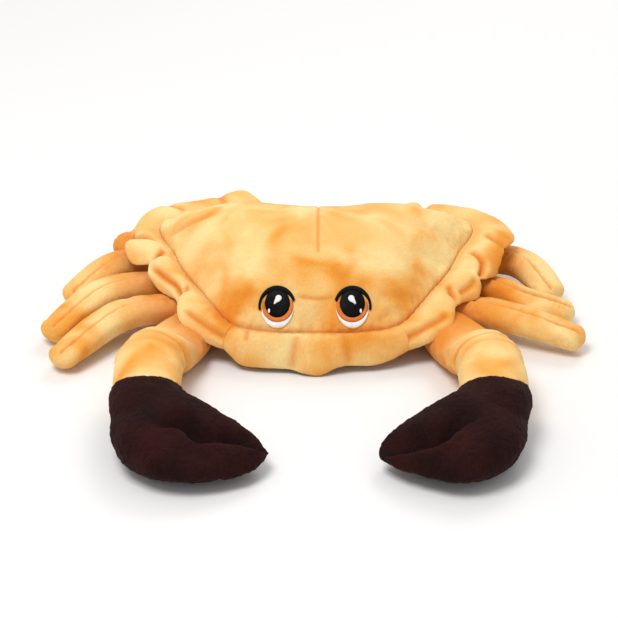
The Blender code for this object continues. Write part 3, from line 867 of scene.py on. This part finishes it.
def yellow_plush():
    """Short-pile plush, tie-dyed: straw, amber and orange blots about 25 to 50 mm across, and
    painted shade: deep orange in seams, folds and creases and at the roots under the rim."""
    made, tree, shader = new_material("short_pile_plush_tie_dyed", "F4BC63", 0.92)
    place = node(tree, "TexCoord").outputs["Object"]
    blots = node(tree, "TexNoise", {"Vector": place, "Scale": 27.0, "Detail": 2.0,
                                    "Roughness": 0.45, "Distortion": 0.6}).outputs[0]
    spots = node(tree, "Attribute", attribute_name="dye").outputs["Fac"]
    strength = node(tree, "Math", {0: spots, 1: 0.13, 2: blots},
                    operation="MULTIPLY_ADD").outputs[0]
    ramp = node(tree, "ValToRGB", {"Fac": strength})
    bands = ((0.34, "F4D592"), (0.46, "F1C47C"), (0.56, "EFB363"), (0.66, "E99E42"),
             (0.76, "E58E33"))
    for i, (position, colour) in enumerate(bands):
        stop = ramp.color_ramp.elements[i] if i < 2 else ramp.color_ramp.elements.new(position)
        stop.position = position
        stop.color = srgb(colour)
    # Painted shade: the colour turns deep orange where the mark is high, in seams, folds, creases
    # and at the roots under the rim
    hollow_and_painted_shade = node(tree, "Attribute", attribute_name="hollow_and_painted_shade").outputs["Fac"]
    colour_with_painted_shade = node(tree, "Mix", {0: hollow_and_painted_shade, 6: ramp.outputs[0], 7: srgb("DC7A1E")},
                    data_type="RGBA")
    nap(tree, place, shader, colour_with_painted_shade.outputs[2], 0.94, 1.05, 0.0005)
    shader.inputs["Specular IOR Level"].default_value = 0.15
    shader.inputs["Sheen Weight"].default_value = 0.1
    shader.inputs["Sheen Roughness"].default_value = 0.45
    shader.inputs["Sheen Tint"].default_value = srgb("FFE3B0")
    return made


def brown_plush():
    """The same short-pile plush in dark reddish brown, with a soft sheen on its crests."""
    made, tree, shader = new_material("short_pile_plush_brown", "311718", 0.9)
    place = node(tree, "TexCoord").outputs["Object"]
    clouds = node(tree, "TexNoise", {"Vector": place, "Scale": 45.0, "Detail": 2.0}).outputs[0]
    ramp = node(tree, "ValToRGB", {"Fac": clouds})
    ramp.color_ramp.elements[0].position = 0.35
    ramp.color_ramp.elements[0].color = srgb("1C0605")
    ramp.color_ramp.elements[1].position = 0.68
    ramp.color_ramp.elements[1].color = srgb("2C0D0A")
    # Painted shade: near black in the slit between the fingers
    hollow_and_painted_shade = node(tree, "Attribute", attribute_name="hollow_and_painted_shade").outputs["Fac"]
    colour_with_painted_shade = node(tree, "Mix", {0: hollow_and_painted_shade, 6: ramp.outputs[0], 7: srgb("0E0404")},
                    data_type="RGBA")
    nap(tree, place, shader, colour_with_painted_shade.outputs[2], 0.7, 1.3, 0.0007)
    shader.inputs["Specular IOR Level"].default_value = 0.15
    shader.inputs["Sheen Weight"].default_value = 0.04
    shader.inputs["Sheen Roughness"].default_value = 0.4
    shader.inputs["Sheen Tint"].default_value = srgb("B06A5C")
    return made


def thread(name, colour):
    """Polyester embroidery thread in satin stitch, a little glossy."""
    made, _, shader = new_material(name, colour, 0.55)
    shader.inputs["Specular IOR Level"].default_value = 0.12
    return made


# Assembly: the rims, arms and legs are cut back to leave a gap of GAP to the body, the rims, the
# claws and the upper arms that they meet
body = make_body()
rims = {"rim_front": make_rim("crab_rim_front", RIM_FRONT_EDGE, 1, RIM_FRONT_FOLDS, 60, 230),
        "rim_left": make_rim("crab_rim_left", RIM_LEFT_EDGE, -1, RIM_LEFT_FOLDS, 60, 430),
        "rim_right": make_rim("crab_rim_right", RIM_RIGHT_EDGE, 1, RIM_RIGHT_FOLDS, 60, 430)}
legs = {name: make_leg(name, line) for name, line in LEGS.items()}
arms = {side: make_arm(side, line) for side, line in ARMS.items()}
claws = {side: make_claw(side, shape) for side, shape in CLAWS.items()}

body_gap = swollen(body, GAP)
rim_gaps = {name: swollen(rim, GAP) for name, rim in rims.items()}
for rim in rims.values():
    cut(rim, body_gap)
for side, (upper, fore) in arms.items():
    claw_gap = swollen(claws[side], GAP)
    cut(fore, claw_gap)
    cut(upper, body_gap)
    cut(upper, rim_gaps["rim_" + side])
    bpy.data.objects.remove(claw_gap)
for name, leg in legs.items():
    side = name.split("_")[1]
    cut(leg, body_gap)
    cut(leg, rim_gaps["rim_" + side])
    if name.endswith("1"):
        arm_gap = swollen(arms[side][0], GAP)
        cut(leg, arm_gap)
        bpy.data.objects.remove(arm_gap)
for cutter in [body_gap, *rim_gaps.values()]:
    bpy.data.objects.remove(cutter)

skin = BVHTree.FromPolygons([tuple(v) for v in read(body)],
                            [tuple(face.vertices) for face in body.data.polygons])
plush = yellow_plush()
dark_plush = brown_plush()
threads = {"white": thread("embroidery_thread_white", "F4F1F0"),
           "iris": thread("embroidery_thread_orange", "E27F38"),
           "lash": thread("embroidery_thread_black", "060505")}
threads.update(pupil=threads["lash"], glint=threads["white"], dot=threads["white"])

yellow = {"body": body, **rims, **legs}
for side, (upper, fore) in arms.items():
    yellow["upper_arm_" + side] = upper
    yellow["forearm_" + side] = fore
for name, piece in yellow.items():
    co = read(piece)
    dye = np.zeros(len(co))
    for x, y, z, radius, strength in DYE_SPOTS:
        dye += strength * np.exp(-np.sum((co - [x, y, z]) ** 2, axis=1) / radius ** 2)
    mark(piece, "dye", np.clip(dye, -1, 1))
    piece.data.materials.clear()
    piece.data.materials.append(plush)
    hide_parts(name)
for side, claw in claws.items():
    claw.data.materials.append(dark_plush)
    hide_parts("claw_" + side)
for piece in [*yellow.values(), *claws.values()]:
    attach(piece, "root")
for word, side in (("left", -1), ("right", 1)):
    for part, patch in make_eye(word, side, skin).items():
        patch.data.materials.append(threads[part])
        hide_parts("eye_" + part + "_" + word)
        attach(patch, "root")

# Floor, light and camera
deselect()
bpy.ops.mesh.primitive_plane_add(size=FLOOR_SIZE, location=(0, 1, 0))
floor = bpy.context.object
floor.name = "studio_floor"
# Seamless studio paper: matt and pale, so that only the soft shadow shows on it
paper, _, _ = new_material("studio_paper", "EEEDEC", 0.9)
floor.data.materials.append(paper)

world = bpy.data.worlds.new("studio")
world.use_nodes = True
bpy.context.scene.world = world
world.node_tree.nodes["Background"].inputs["Color"].default_value = (1, 1, 1, 1)
world.node_tree.nodes["Background"].inputs["Strength"].default_value = STUDIO_BRIGHTNESS


def area_light(name, place, aim, size, power):
    lamp = bpy.data.lights.new(name, "AREA")
    lamp.size = size
    lamp.energy = power
    holder = bpy.data.objects.new(name, lamp)
    bpy.context.scene.collection.objects.link(holder)
    holder.location = place
    holder.rotation_euler = (Vector(aim) - Vector(place)).to_track_quat("-Z", "Y").to_euler()


area_light("key_light", place=(-0.5, -0.7, 1.7), aim=(0, -0.05, 0), size=0.8, power=20)
area_light("back_light", place=(0.5, 1.2, 1.3), aim=(0, 0, 0), size=0.8, power=8)

target = Vector(CAMERA_TARGET)
forward = Vector((0, math.cos(CAMERA_TILT), -math.sin(CAMERA_TILT)))
rising = Vector((0, math.sin(CAMERA_TILT), math.cos(CAMERA_TILT)))
camera_place = target - forward * CAMERA_DISTANCE
picture_middle = (target + Vector((PICTURE_RIGHT, 0, 0)) * PIXEL
                  + rising * PICTURE_UP * PIXEL)
camera_data = bpy.data.cameras.new("camera")
camera = bpy.data.objects.new("camera", camera_data)
bpy.context.scene.collection.objects.link(camera)
camera.location = camera_place
camera.rotation_euler = (picture_middle - camera_place).to_track_quat("-Z", "Y").to_euler()
camera_data.sensor_width = SENSOR_WIDTH
camera_data.lens = SENSOR_WIDTH * (CAMERA_DISTANCE / PIXEL) / PICTURE_WIDTH
camera_data.clip_end = 20
bpy.context.scene.camera = camera

bpy.context.scene.view_settings.view_transform = "Standard"
